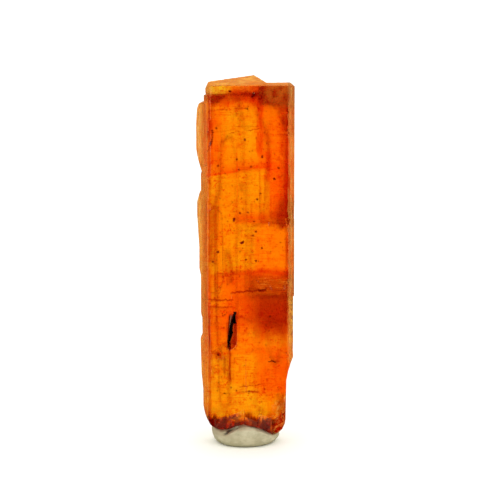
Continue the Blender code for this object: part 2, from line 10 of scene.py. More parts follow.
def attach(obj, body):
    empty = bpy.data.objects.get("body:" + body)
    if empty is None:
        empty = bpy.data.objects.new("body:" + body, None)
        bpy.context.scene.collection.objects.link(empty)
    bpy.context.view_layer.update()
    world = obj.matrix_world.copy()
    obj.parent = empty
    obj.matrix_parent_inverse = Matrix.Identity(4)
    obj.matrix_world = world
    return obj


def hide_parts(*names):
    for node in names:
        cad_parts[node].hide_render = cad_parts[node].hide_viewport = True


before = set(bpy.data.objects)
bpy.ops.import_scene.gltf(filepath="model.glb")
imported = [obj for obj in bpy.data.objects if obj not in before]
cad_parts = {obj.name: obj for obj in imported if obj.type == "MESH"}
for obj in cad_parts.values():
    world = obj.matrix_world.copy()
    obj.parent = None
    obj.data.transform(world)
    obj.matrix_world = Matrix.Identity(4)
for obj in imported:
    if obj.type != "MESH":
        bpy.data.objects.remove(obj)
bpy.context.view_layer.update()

# The camera looks at the broad front face, a little from above, through a long lens. The
# photograph's frame is 500 pixels wide, and the part's origin lies at a named pixel in it.
MM = 0.001
FRAME_PIXELS = 500
PIXEL = 0.0975 * MM
ORIGIN_COLUMN = 245.5
ORIGIN_ROW = 443.2
ELEVATION = math.radians(10)
LENS = 180
SENSOR = 36
CLIP_START = 10 * MM
FOCUS_HEIGHT = 18 * MM

camera_data = bpy.data.cameras.new("camera")
camera_data.lens = LENS
camera_data.sensor_width = SENSOR
camera_data.clip_start = CLIP_START
camera = bpy.data.objects.new("camera", camera_data)
bpy.context.scene.collection.objects.link(camera)
bpy.context.scene.camera = camera
view = Vector((0, math.cos(ELEVATION), -math.sin(ELEVATION)))
up = Vector((0, math.sin(ELEVATION), math.cos(ELEVATION)))
distance = FRAME_PIXELS * PIXEL * LENS / SENSOR + FOCUS_HEIGHT * math.sin(ELEVATION)
middle = Vector(((FRAME_PIXELS / 2 - ORIGIN_COLUMN) * PIXEL, 0, 0))
middle += up * (ORIGIN_ROW - FRAME_PIXELS / 2) * PIXEL
camera.location = middle - view * distance
camera.rotation_euler = view.to_track_quat("-Z", "Y").to_euler()

# The studio: an even white surround, and three warm soft boxes that only show as gloss. The floor
# is plain white, lit until it is as bright as the surround, with no lamp in front of the crystal,
# and a faint warm glow of light through the crystal is painted into its colour around the foot.
SURROUND = 1.0
FLOOR_SIZE = 4.0
FLOOR_ROUGHNESS = 0.9
FLOOR_TONE = (0.96, 0.96, 0.95, 1)
PAINTED_FLOOR_GLOW = (1.0, 0.995, 0.91, 1)
PAINTED_GLOW_REACH = (2.5 * MM, 11 * MM)
BOX_TONE = (1.0, 0.80, 0.36)
SKY_STRENGTH = 0.95
SKY_SPREAD = math.radians(160)
LIGHT_BOUNCES = 32


def feed(tree, source, socket):
    """Links a source to a socket, or sets it where the source is a plain value."""
    if isinstance(source, bpy.types.NodeSocket):
        tree.links.new(source, socket)
    else:
        socket.default_value = source


def fade(tree, source, low, high, low_value=0.0, high_value=1.0):
    """A smooth change from one value to another while the source goes from low to high."""
    node = tree.nodes.new("ShaderNodeMapRange")
    node.interpolation_type = "SMOOTHSTEP"
    for name, value in (("Value", source), ("From Min", low), ("From Max", high),
                        ("To Min", low_value), ("To Max", high_value)):
        feed(tree, value, node.inputs[name])
    return node.outputs["Result"]


def tinted(tree, amount, colour, tint, blend="MIX"):
    """A colour with a tint laid over it by an amount, as paint, or as a filter with MULTIPLY."""
    node = tree.nodes.new("ShaderNodeMix")
    node.data_type = "RGBA"
    node.blend_type = blend
    feed(tree, amount, node.inputs[0])
    feed(tree, colour, node.inputs[6])
    feed(tree, tint, node.inputs[7])
    return node.outputs[2]


world = bpy.data.worlds.new("white_surround")
bpy.context.scene.world = world
world.use_nodes = True
world.node_tree.nodes["Background"].inputs["Color"].default_value = (1, 1, 1, 1)
world.node_tree.nodes["Background"].inputs["Strength"].default_value = SURROUND
world.cycles_visibility.glossy = False

bm = bmesh.new()
bmesh.ops.create_grid(bm, x_segments=1, y_segments=1, size=FLOOR_SIZE / 2)
floor_mesh = bpy.data.meshes.new("floor")
bm.to_mesh(floor_mesh)
bm.free()
floor = bpy.data.objects.new("floor", floor_mesh)
bpy.context.scene.collection.objects.link(floor)
floor.visible_glossy = False
floor_finish = bpy.data.materials.new("white_floor")
floor_finish.use_nodes = True
floor_tree = floor_finish.node_tree
floor_shader = floor_tree.nodes["Principled BSDF"]
from_middle = floor_tree.nodes.new("ShaderNodeVectorMath")
from_middle.operation = "LENGTH"
feed(floor_tree, floor_tree.nodes.new("ShaderNodeTexCoord").outputs["Object"],
     from_middle.inputs[0])
# painted light: the floor's colour is a faint warm glow near the crystal's foot, plain white
# further out
past_painted_glow = fade(floor_tree, from_middle.outputs["Value"], *PAINTED_GLOW_REACH)
feed(floor_tree, tinted(floor_tree, past_painted_glow, PAINTED_FLOOR_GLOW, FLOOR_TONE),
     floor_shader.inputs["Base Color"])
floor_shader.inputs["Roughness"].default_value = FLOOR_ROUGHNESS
floor_shader.inputs["Specular IOR Level"].default_value = 0.0
floor_mesh.materials.append(floor_finish)

for name, place, size, radiance in (
    ("soft_box_left", (-0.30, -0.04, 0.12), (0.30, 0.40), 2.0),
    ("soft_box_right", (0.30, -0.04, 0.12), (0.30, 0.40), 1.2),
    ("soft_box_behind", (0.0, 0.42, 0.20), (0.80, 0.50), 0.9),
):
    box_data = bpy.data.lights.new(name, "AREA")
    box_data.shape = "RECTANGLE"
    box_data.size, box_data.size_y = size
    box_data.color = BOX_TONE
    box_data.energy = radiance * math.pi * size[0] * size[1]
    box = bpy.data.objects.new(name, box_data)
    bpy.context.scene.collection.objects.link(box)
    box.location = place
    aim = Vector((0, 0, FOCUS_HEIGHT)) - Vector(place)
    box.rotation_euler = aim.to_track_quat("-Z", "Y").to_euler()
    box.visible_camera = False
    box.visible_transmission = False
    box.visible_diffuse = False

sky_data = bpy.data.lights.new("overhead", "SUN")
sky_data.energy = SKY_STRENGTH
sky_data.angle = SKY_SPREAD
sky = bpy.data.objects.new("overhead", sky_data)
bpy.context.scene.collection.objects.link(sky)
sky.visible_glossy = False
sky.visible_transmission = False

bpy.context.scene.view_settings.view_transform = "Standard"
bpy.context.scene.cycles.max_bounces = LIGHT_BOUNCES
bpy.context.scene.cycles.transmission_bounces = LIGHT_BOUNCES
bpy.context.scene.cycles.glossy_bounces = LIGHT_BOUNCES
bpy.context.scene.cycles.transparent_max_bounces = LIGHT_BOUNCES
bpy.context.scene.cycles.use_denoising = True

# The crystal body: one bladed, gem-clear orange kyanite, grown as one piece and set upright in
# the putty. Its broad faces are glassy with fine upright growth lines, and its edges and broken
# ends are slightly worn. From here on, sizes are in millimetres, x to the right, y back, z up.
SKIN_CELL = 0.07
SKIN_TRIANGLES = 190000
SAME_POINT = 0.001
# The growth lines and the light wear are ripples: rows of stretch across, stretch up and share.
LINE_RIPPLES, LINE_HEIGHT = ((3.1, 0.10, 1.0), (7.3, 0.22, 0.6)), 0.016
WEAR_RIPPLES, WEAR_HEIGHT = ((2.6, 2.6, 1.0), (6.1, 6.1, 0.5)), 0.014
UPRIGHT_WEAR = 0.3
# The back, its low right part, and places on the broad face are worn smooth, in rounds.
BACK_FROM, BACK_FACING, BACK_SPAN, BACK_WEAR = 0.3, 0.15, (3.0, 35.2), 80
LOW_BACK_LEFT, LOW_BACK_TOP, LOW_BACK_WEAR = 1.2, 14.5, 160
FRONT_FROM, FRONT_FACING, FRONT_WEAR = -1.5, -0.15, 60
WORN_PLACES = (
    # x from, to, z from, to: where the edges of the shallow scales on the broad face are worn
    (0.6, 2.0, 9.5, 14.9),
    (1.5, 4.0, 4.5, 10.0),
    (-3.2, -1.75, 4.8, 8.9),
    (-1.2, -0.3, 27.6, 32.5),
    (0.9, 4.1, 28.6, 34.6),
    (-1.6, 2.8, 19.0, 21.9),
)


def applied(thing):
    """The thing's mesh with its modifiers applied; the modifiers are removed."""
    depsgraph = bpy.context.evaluated_depsgraph_get()
    mesh = bpy.data.meshes.new_from_object(thing.evaluated_get(depsgraph))
    thing.modifiers.clear()
    thing.data = mesh
    return mesh


def skin_of(node_name, piece_name, cell):
    """A new piece: the CAD node's surface, in millimetres, as one even skin to be worked."""
    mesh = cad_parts[node_name].data.copy()
    bm = bmesh.new()
    bm.from_mesh(mesh)
    bmesh.ops.remove_doubles(bm, verts=bm.verts, dist=SAME_POINT * MM)
    bmesh.ops.scale(bm, verts=bm.verts, vec=(1 / MM,) * 3)
    bm.to_mesh(mesh)
    bm.free()
    piece = bpy.data.objects.new(piece_name, mesh)
    bpy.context.scene.collection.objects.link(piece)
    skin = piece.modifiers.new("skin", "REMESH")
    skin.mode = "VOXEL"
    skin.voxel_size = cell
    skin.use_smooth_shade = True
    applied(piece)
    return piece


def ripple(point, rows):
    """Noise about 0 at a point: rows of a stretch across, a stretch up and a share, summed."""
    x, y, z = point
    return sum(share * noise.noise((across * x, across * y, up * z)) for across, up, share in rows)


def wear_down(bm, verts, rounds):
    """Smooths the verts round after round."""
    for _ in range(rounds):
        bmesh.ops.smooth_vert(bm, verts=verts, factor=0.5,
                              use_axis_x=True, use_axis_y=True, use_axis_z=True)


def to_metres(bm, mesh):
    """Writes a bmesh in millimetres to a mesh in metres, and frees it."""
    bmesh.ops.scale(bm, verts=bm.verts, vec=(MM,) * 3)
    bm.to_mesh(mesh)
    bm.free()


crystal = skin_of("kyanite_crystal", "kyanite_blade", SKIN_CELL)
bm = bmesh.new()
bm.from_mesh(crystal.data)
bm.normal_update()
moves = []
for vert in bm.verts:
    upright = 1.0 - abs(vert.normal.z)
    wear_share = 1.0 - (1.0 - UPRIGHT_WEAR) * upright
    moves.append(vert.normal * (LINE_HEIGHT * ripple(vert.co, LINE_RIPPLES) * upright
                                + WEAR_HEIGHT * ripple(vert.co, WEAR_RIPPLES) * wear_share))
for vert, move in zip(bm.verts, moves):
    vert.co += move
back = [vert for vert in bm.verts if vert.co.y > BACK_FROM and vert.normal.y > BACK_FACING
        and BACK_SPAN[0] < vert.co.z < BACK_SPAN[1]]
wear_down(bm, back, BACK_WEAR)
low_back = [vert for vert in back if vert.co.x > LOW_BACK_LEFT and vert.co.z < LOW_BACK_TOP]
wear_down(bm, low_back, LOW_BACK_WEAR)
front = [vert for vert in bm.verts if vert.co.y < FRONT_FROM and vert.normal.y < FRONT_FACING
         and any(left < vert.co.x < right and low < vert.co.z < high
                 for left, right, low, high in WORN_PLACES)]
wear_down(bm, front, FRONT_WEAR)
bm.to_mesh(crystal.data)
bm.free()
thin_out = crystal.modifiers.new("thin_out", "DECIMATE")
thin_out.ratio = min(1.0, SKIN_TRIANGLES / (2 * len(crystal.data.polygons)))
crystal_mesh = applied(crystal)
# The pieces in and on the crystal are set against this copy of its surface, in millimetres.
bare_surface = crystal_mesh.copy()

# The finish of every piece is laid out in millimetres, and much of it breaks up with this grain: a
# value about 0.5 that changes over the surface, with its own stretch along each axis.
GRAIN_ROUGHNESS = 0.55
grain_field = bpy.data.node_groups.new("grain", "ShaderNodeTree")
for name, kind in (("Place", "Vector"), ("Stretch", "Vector"), ("Detail", "Float"),
                   ("Roughness", "Float")):
    grain_field.interface.new_socket(name, in_out="INPUT", socket_type="NodeSocket" + kind)
grain_field.interface.new_socket("Grain", in_out="OUTPUT", socket_type="NodeSocketFloat")
given = grain_field.nodes.new("NodeGroupInput").outputs
stretched = grain_field.nodes.new("ShaderNodeMapping")
feed(grain_field, given["Place"], stretched.inputs["Vector"])
feed(grain_field, given["Stretch"], stretched.inputs["Scale"])
speckle = grain_field.nodes.new("ShaderNodeTexNoise")
speckle.inputs["Scale"].default_value = 1.0
feed(grain_field, stretched.outputs["Vector"], speckle.inputs["Vector"])
feed(grain_field, given["Detail"], speckle.inputs["Detail"])
feed(grain_field, given["Roughness"], speckle.inputs["Roughness"])
feed(grain_field, speckle.outputs["Fac"],
     grain_field.nodes.new("NodeGroupOutput").inputs["Grain"])


def grain(tree, place, stretch, detail, roughness=GRAIN_ROUGHNESS):
    """The grain at a place, with its own stretch, detail and roughness."""
    node = tree.nodes.new("ShaderNodeGroup")
    node.node_tree = grain_field
    for socket, value in zip(node.inputs, (place, stretch, detail, roughness)):
        feed(tree, value, socket)
    return node.outputs["Grain"]


def new_finish(name):
    """A new material, its nodes, its shader, and the point on the piece, whole and by axis."""
    finish = bpy.data.materials.new(name)
    finish.use_nodes = True
    tree = finish.node_tree
    in_millimetres = tree.nodes.new("ShaderNodeMapping")
    in_millimetres.inputs["Scale"].default_value = (1 / MM,) * 3
    feed(tree, tree.nodes.new("ShaderNodeTexCoord").outputs["Object"],
         in_millimetres.inputs["Vector"])
    place = in_millimetres.outputs["Vector"]
    axes = tree.nodes.new("ShaderNodeSeparateXYZ")
    feed(tree, place, axes.inputs["Vector"])
    return finish, tree, tree.nodes["Principled BSDF"], place, list(axes.outputs)


def maths(tree, operation, *sources):
    """The sources joined one after another by one operation."""
    result = sources[0]
    for source in sources[1:]:
        node = tree.nodes.new("ShaderNodeMath")
        node.operation = operation
        feed(tree, result, node.inputs[0])
        feed(tree, source, node.inputs[1])
        result = node.outputs["Value"]
    return result


def zone(tree, *fades):
    """How far a point lies inside a zone, which is the product of its fades."""
    return maths(tree, "MULTIPLY", *[fade(tree, *one_fade) for one_fade in fades])


def swing(tree, wave, reach):
    """A grain's distance from its middle value, times a reach."""
    return maths(tree, "MULTIPLY", maths(tree, "SUBTRACT", wave, 0.5), reach)


# One zone in the crystal's colour, a stain in most rows and painted shade in the cleft and under
# the
# step: a patch with a soft edge on each side, that follows the slope of the partings and tints
# what lies under it.
stain_and_shade = bpy.data.node_groups.new("stain_and_shade", "ShaderNodeTree")
for name, kind in (("Colour", "Color"), ("Across", "Float"), ("Up", "Float"), ("Slope", "Float"),
                   ("Left", "Float"), ("Right", "Float"), ("Side Fade", "Float"),
                   ("Bottom", "Float"), ("Bottom Fade", "Float"),
                   ("Top", "Float"), ("Top Fade", "Float"),
                   ("Tint", "Color"), ("Amount", "Float")):
    stain_and_shade.interface.new_socket(name, in_out="INPUT", socket_type="NodeSocket" + kind)
stain_and_shade.interface.new_socket("Colour", in_out="OUTPUT", socket_type="NodeSocketColor")
given = stain_and_shade.nodes.new("NodeGroupInput").outputs
level = maths(stain_and_shade, "SUBTRACT", given["Up"],
              maths(stain_and_shade, "MULTIPLY", given["Slope"], given["Across"]))
covered = fade(stain_and_shade, given["Across"],
               maths(stain_and_shade, "SUBTRACT", given["Left"], given["Side Fade"]), given["Left"],
               0.0, given["Amount"])
covered = fade(stain_and_shade, given["Across"], given["Right"],
               maths(stain_and_shade, "ADD", given["Right"], given["Side Fade"]), covered, 0.0)
covered = fade(stain_and_shade, level,
               maths(stain_and_shade, "SUBTRACT", given["Bottom"], given["Bottom Fade"]), given["Bottom"],
               0.0, covered)
covered = fade(stain_and_shade, level, given["Top"],
               maths(stain_and_shade, "ADD", given["Top"], given["Top Fade"]), covered, 0.0)
feed(stain_and_shade, tinted(stain_and_shade, covered, given["Colour"], given["Tint"], "MULTIPLY"),
     stain_and_shade.nodes.new("NodeGroupOutput").inputs["Colour"])

gem, tree, gem_shader, place, (gem_x, gem_y, gem_z) = new_finish("orange_kyanite")

# The partings dip a little to the back, so the height that the stains go by does too. What shows
# on the broad face reaches through the crystal, so its pattern is drawn out from front to back.
DIP = 0.10
FRONT_FACE = -2.05
DRAWN_OUT = 0.25
height = maths(tree, "ADD", gem_z,
               maths(tree, "MULTIPLY", maths(tree, "SUBTRACT", gem_y, FRONT_FACE), DIP))
drawn_place = tree.nodes.new("ShaderNodeCombineXYZ")
feed(tree, gem_x, drawn_place.inputs["X"])
feed(tree, maths(tree, "MULTIPLY", gem_y, DRAWN_OUT), drawn_place.inputs["Y"])
feed(tree, height, drawn_place.inputs["Z"])
flat = drawn_place.outputs["Vector"]

# How the edges of the stains wander, from calm to ragged and splintered.
waver = grain(tree, flat, (1.3, 1.3, 1.3), 3.0)
jag = grain(tree, flat, (2.6, 1.0, 0.8), 3.0)
calm_across = maths(tree, "ADD", gem_x, swing(tree, jag, 0.25))
calm_up = maths(tree, "ADD", height, swing(tree, waver, 0.25))
line_up = maths(tree, "ADD", calm_up,
                swing(tree, grain(tree, flat, (3.5, 0.5, 1.5), 3.0), 0.32))
ragged_across = maths(tree, "ADD", gem_x, swing(tree, jag, 1.6))
ragged_up = maths(tree, "ADD", height, swing(tree, waver, 1.1), swing(tree, jag, 0.8))
splintered_up = maths(tree, "ADD", height,
                      swing(tree, grain(tree, flat, (1.1, 0.4, 0.10), 3.0), 2.2),
                      swing(tree, grain(tree, flat, (4.2, 1.0, 0.5), 2.0), 1.2))

# How the stains break up inside, and which of them stay close to the broad face.
on_front = fade(tree, gem_y, -1.4, -0.9, 1.0, 0.0)
patchy = fade(tree, grain(tree, flat, (0.7, 0.3, 2.6), 4.0), 0.32, 0.60, 0.45, 1.0)
patchy_front = maths(tree, "MULTIPLY", on_front,
                     fade(tree, grain(tree, flat, (1.6, 0.5, 3.0), 4.0), 0.38, 0.60, 0.12, 1.0))
chip_place = tree.nodes.new("ShaderNodeMapping")
chip_place.inputs["Scale"].default_value = (2.4, 1.1, 1.7)
chip_place.inputs["Rotation"].default_value = (0.0, 0.6, 0.0)
feed(tree, flat, chip_place.inputs["Vector"])
chips = tree.nodes.new("ShaderNodeTexVoronoi")
chips.inputs["Scale"].default_value = 1.0
feed(tree, chip_place.outputs["Vector"], chips.inputs["Vector"])
chip_tone = tree.nodes.new("ShaderNodeSeparateColor")
feed(tree, chips.outputs["Color"], chip_tone.inputs["Color"])
shards = maths(tree, "MAXIMUM", fade(tree, chip_tone.outputs["Red"], 0.40, 0.55),
               fade(tree, grain(tree, flat, (2.4, 1.0, 1.4), 5.0, 0.65), 0.50, 0.58, 0.0, 0.8))

CLEAR = (1, 1, 1, 1)
GOLD = (1.0, 0.86, 0.22, 1)
HONEY = (1.0, 0.84, 0.5, 1)
AMBER = (1.0, 0.66, 0.5, 1)
FLAME = (0.97, 0.46, 0.4, 1)
EMBER = (0.82, 0.44, 0.4, 1)
SMOKE = (0.58, 0.36, 0.4, 1)
FLECK = (0.74, 0.12, 0.2, 1)
GARNET = (0.40, 0.09, 0.4, 1)
RUST = (0.84, 0.36, 0.03, 1)
FOOT_RED = (0.17, 0.07, 0.02, 1)
PITCH = (0.07, 0.02, 0.1, 1)

mottle = maths(tree, "ADD", *[
    maths(tree, "MULTIPLY", grain(tree, flat, stretch, detail, roughness), share)
    for stretch, detail, roughness, share in (
        ((0.9, 0.9, 0.9), 8.0, 0.70, 0.46),
        ((0.5, 0.5, 3.4), 5.0, 0.65, 0.32),
        ((3.6, 1.0, 0.3), 5.0, 0.65, 0.22),
    )])
colour = tinted(tree, fade(tree, mottle, 0.42, 0.58), CLEAR, AMBER)

# Fine dark specks, cross-cleavage lines, upright growth lines and two sizes of freckles, all
# denser in some places than in others.
dense = fade(tree, grain(tree, flat, (0.45, 0.45, 0.45), 3.0), 0.38, 0.60, 0.35, 1.0)
for stretch, low, high, strength in (
    ((3.4, 1.0, 3.4), 0.57, 0.66, 0.95),
    ((0.6, 0.3, 7.5), 0.55, 0.66, 0.70),
    ((7.5, 1.0, 0.5), 0.56, 0.69, 0.40),
    ((1.4, 0.6, 1.4), 0.56, 0.70, 0.80),
    ((2.2, 0.8, 2.6), 0.48, 0.60, 0.45),
):
    found = fade(tree, grain(tree, flat, stretch, 4.0), low, high, 0.0, strength)
    colour = tinted(tree, maths(tree, "MULTIPLY", found, dense, on_front), colour, FLECK,
                    "MULTIPLY")

paths = {
    # kind of stain: what its sides go by, what its bottom and top go by
    "ragged": (ragged_across, ragged_up),
    "upright ragged": (ragged_across, ragged_up),
    "splintered": (calm_across, splintered_up),
    "shards": (calm_across, splintered_up),
    "front": (calm_across, line_up),
    "ledge": (calm_across, line_up),
}
amounts = {"patchy": patchy, "upright": patchy, "front": patchy_front, "ledge": on_front,
           "shards": shards, "soft": 0.8}
for name, side, level, slope, tint, kind in (
    # name, (left, right, fade), (bottom, fade below, top, fade above), slope, tint, kind
    ("crown_brown", (-2.4, 1.6, 1.6), (34.35, 0.75, 34.60, 0.9), 0.06, EMBER, "ragged"),
    ("crown_brown_middle", (-1.4, 1.5, 1.2), (34.15, 0.35, 34.65, 0.45), 0.04, EMBER, "ragged"),
    ("crown_red", (-2.6, 1.0, 1.4), (33.75, 1.10, 33.95, 0.6), 0.08, FLAME, "patchy"),
    ("left_tone_upper", (-9, -2.5, 0.8), (27.6, 0.4, 32.6, 0.8), 0.0, AMBER, "ragged"),
    ("crown_plate", (-0.9, 9, 1.2), (34.6, 0.4, 39, 1), 0.0, FLAME, "ragged"),
    ("crown_seam", (1.0, 9, 1.2), (33.9, 1.0, 39, 1), 0.0, EMBER, "ragged"),
    ("crown_block_patch", (3.3, 9, 0.5), (33.0, 0.4, 33.5, 0.5), 0.0, SMOKE, "ragged"),
    ("edge_patch_high", (3.6, 9, 0.4), (31.7, 0.5, 32.4, 0.5), 0.0, SMOKE, "ragged"),
    ("edge_patch_low", (3.8, 9, 0.3), (30.7, 0.4, 31.2, 0.4), 0.0, SMOKE, "ragged"),
    ("crown_gold", (-9, -0.9, 1.2), (34.7, 0.4, 39, 1), 0.0, GOLD, "even"),
    ("right_blade_upper", (1.6, 9, 0.7), (28.6, 1.6, 33.2, 0.6), 0.0, AMBER, "ragged"),
    ("right_blade_edge", (3.6, 9, 1.0), (22.9, 1.0, 33.6, 1), 0.0, AMBER, "patchy"),
    ("right_blade_flank", (3.1, 9, 1.1), (23.1, 0.8, 27.4, 1.2), 0.0, AMBER, "ragged"),
    ("left_flank", (-9, -3.5, 0.4), (2, 1, 34.5, 1), 0.0, EMBER, "patchy"),
    ("left_flank_upper", (-9, -3.0, 0.5), (28.0, 0.4, 31.8, 0.8), 0.0, AMBER, "ragged"),
    ("shoulder_left", (-3.7, -0.83, 0.12), (27.23, 0.14, 27.28, 1.1), 0.143, FLAME, "even"),
    ("shoulder_left_edge", (-3.7, -0.83, 0.12), (27.23, 0.10, 27.26, 0.25), 0.143, AMBER, "even"),
    ("shoulder_right", (-0.83, 2.5, 0.12), (27.34, 0.14, 27.40, 1.3), 0.108, FLAME, "even"),
    ("shoulder_right_edge", (-0.83, 2.5, 0.12), (27.34, 0.10, 27.38, 0.25), 0.108, AMBER, "even"),
    ("waist_left", (-0.6, 1.6, 0.8), (22.3, 0.4, 22.6, 1.0), 0.0, FLAME, "even"),
    ("waist_right", (1.8, 9, 0.8), (22.2, 0.35, 22.7, 0.9), 0.0, EMBER, "even"),
    ("waist_corner", (3.3, 9, 0.7), (21.9, 0.5, 24.0, 1.0), 0.0, SMOKE, "ragged"),
    ("lower_right_field", (1.2, 9, 0.6), (17.6, 0.4, 21.9, 0.5), 0.0, AMBER, "even"),
    ("hip", (-0.8, 9, 2.2), (12.0, 2.2, 17.1, 0.9), 0.02, FLAME, "soft"),
    ("hip_left", (-9, -0.8, 2.2), (12.0, 2.2, 16.6, 0.8), 0.02, AMBER, "soft"),
    ("hip_line_left", (-3.4, 1.6, 0.2), (17.14, 0.14, 17.22, 0.35), 0.10, EMBER, "even"),
    ("hip_line_right", (1.5, 9, 0.2), (17.50, 0.20, 17.62, 0.35), -0.11, EMBER, "even"),
    ("brown_step", (1.2, 9, 2.0), (15.0, 0.6, 16.7, 0.6), 0.0, SMOKE, "ragged"),
    ("brown_hollow", (1.9, 9, 2.0), (12.2, 2.4, 14.9, 0.5), 0.0, SMOKE, "ragged"),
    ("brown_hollow_left", (0.3, 9, 1.4), (12.7, 1.4, 14.7, 0.5), 0.0, EMBER, "ragged"),
    ("brown_hollow_thin", (1.6, 4.0, 0.5), (10.9, 0.9, 11.9, 0.6), 0.0, AMBER, "ragged"),
    ("brown_hollow_heart", (2.2, 3.3, 1.0), (12.2, 1.2, 13.2, 1.2), 0.0, AMBER, "patchy"),
    ("step_shadow", (0.4, 2.4, 0.4), (15.50, 0.15, 15.65, 0.15), 0.06, SMOKE, "front"),
    ("left_low_brown", (-9, -1.4, 0.5), (8.9, 0.5, 13.0, 1.5), 0.0, AMBER, "patchy"),
    ("left_low_smudge", (-3.0, -2.3, 0.5), (8.8, 0.4, 9.25, 0.4), 0.0, SMOKE, "ragged"),
    ("low_middle_red", (-1.0, 1.4, 0.8), (9.5, 0.6, 10.4, 0.8), 0.0, AMBER, "even"),
    ("low_middle", (-1.2, 2.0, 0.6), (6.3, 0.5, 9.2, 0.9), 0.0, HONEY, "even"),
    ("low_right", (2.9, 9, 1.2), (5.8, 0.8, 9.0, 1.8), 0.0, AMBER, "ragged"),
    ("corner_gold", (2.4, 9, 0.5), (1.0, 1, 4.8, 0.8), 0.0, GOLD, "even"),
    ("low_right_redder", (1.7, 9, 1.0), (5.4, 0.9, 9.4, 1.6), 0.0, FLAME, "soft"),
    ("low_right_edge", (3.3, 3.9, 0.3), (3.2, 0.5, 5.0, 0.5), 0.0, SMOKE, "patchy"),
    ("foot", (-9, 2.7, 0.5), (-5, 1, 2.95, 0.30), 0.0, RUST, "splintered"),
    ("foot_dark", (-9, 2.7, 0.5), (-5, 1, 2.75, 0.30), 0.0, FOOT_RED, "shards"),
    ("foot_arch", (0.4, 2.6, 0.5), (-5, 1, 2.55, 0.35), 0.0, SMOKE, "splintered"),
    ("foot_rim", (-9, 9, 0.5), (-5, 1, 1.5, 0.5), -0.02, SMOKE, "splintered"),
    ("foot_corner", (2.7, 9, 0.4), (-5, 1, 4.0, 1.0), 0.0, AMBER, "shards"),
    ("foot_corner_edge", (3.6, 9, 0.3), (-5, 1, 4.4, 0.8), 0.0, EMBER, "shards"),
    # fine lines and ledges on the broad face
    ("crown_line", (-3.85, -0.05, 0.3), (33.26, 0.09, 33.34, 0.09), 0.105, GARNET, "front"),
    ("upper_line", (-2.0, 1.2, 0.3), (31.49, 0.07, 31.52, 0.07), 0.0, SMOKE, "front"),
    ("upper_parting", (-2.2, 1.2, 0.3), (31.06, 0.07, 31.10, 0.07), 0.16, GARNET, "front"),
    ("ledge_high", (-3.6, -1.3, 0.2), (14.54, 0.07, 14.62, 0.08), 0.0, GARNET, "ledge"),
    ("ledge_low", (-3.6, -1.3, 0.2), (13.84, 0.07, 13.92, 0.07), 0.0, SMOKE, "ledge"),
    ("step_dash", (1.25, 2.0, 0.1), (15.46, 0.10, 15.62, 0.10), 0.0, GARNET, "ledge"),
    ("ledge_rise", (-1.3, 2.0, 0.1), (15.36, 0.09, 15.46, 0.09), 0.10, GARNET, "ledge"),
    ("hip_right_band", (0.8, 9, 1.2), (16.9, 0.3, 17.3, 0.4), -0.05, AMBER, "ragged"),
    ("low_line_left", (-2.1, -1.6, 0.2), (5.26, 0.06, 5.30, 0.06), 0.0, PITCH, "front"),
    ("low_line", (-0.5, 1.2, 0.2), (5.42, 0.10, 5.54, 0.10), -0.06, GARNET, "front"),
    ("low_line_upper", (-0.54, 1.6, 0.2), (5.96, 0.06, 6.0, 0.06), 0.117, GARNET, "front"),
    ("right_low_dash", (2.3, 2.9, 0.2), (8.42, 0.06, 8.48, 0.06), 0.0, PITCH, "ledge"),
    # seams that run up the blade: here left and right, bottom and top change places
    ("blade_seam", (28.9, 35.2, 0.6), (1.25, 0.25, 1.60, 0.35), 0.0, FLAME, "upright ragged"),
    ("blade_seam_core", (29.4, 34.6, 0.6), (1.34, 0.14, 1.46, 0.14), 0.0, EMBER, "upright ragged"),
    ("blade_seam_low", (26.6, 28.9, 0.6), (2.0, 0.3, 2.3, 0.3), 0.0, FLAME, "upright ragged"),
    ("flank_seam", (22.9, 27.9, 0.4), (2.45, 0.10, 2.55, 1.4), 0.0, AMBER, "upright"),
    ("left_seam", (18.0, 24.5, 1.0), (-2.58, 0.06, -2.52, 0.06), 0.0, AMBER, "upright"),
    ("middle_seam", (24.4, 29.4, 0.8), (-0.86, 0.06, -0.80, 0.06), 0.0, EMBER, "upright"),
    # the cleft's black and deep red are painted shade in its recess
    ("cleft_shade_black", (9.9, 12.8, 0.5), (-2.64, 0.08, -2.30, 0.10), 0.086, PITCH, "upright cleft"),
    ("cleft_shade_red", (10.2, 12.9, 0.4), (-1.34, 0.12, -0.84, 0.10), 0.0, GARNET, "upright cleft"),
    ("cleft_tail", (6.8, 9.9, 0.8), (-1.58, 0.08, -1.46, 0.08), 0.0, GARNET, "upright cleft"),
    ("heel_line", (7.3, 8.8, 0.4), (-2.08, 0.07, -1.98, 0.07), 0.0, SMOKE, "upright cleft"),
    ("right_border", (13.8, 35.0, 0.8), (3.98, 0.12, 4.20, 0.12), 0.0, EMBER, "upright"),
    ("right_strip", (15.5, 35.2, 2.0), (4.1, 0.15, 9, 1), 0.0, EMBER, "upright even"),
    ("right_strip_dark", (16.5, 23.6, 1.8), (4.1, 0.15, 9, 1), 0.0, SMOKE, "upright"),
):
    node = tree.nodes.new("ShaderNodeGroup")
    node.node_tree = stain_and_shade
    node.label = name
    across, up = paths.get(kind, (calm_across, calm_up))
    if kind.startswith("upright"):
        across, up = up, across
    amount = amounts.get(kind, 1.0)
    values = (colour, across, up, slope, *side, *level, tint, amount)
    for socket, value in zip(node.inputs, values):
        feed(tree, value, socket)
    colour = node.outputs["Colour"]
feed(tree, colour, gem_shader.inputs["Base Color"])

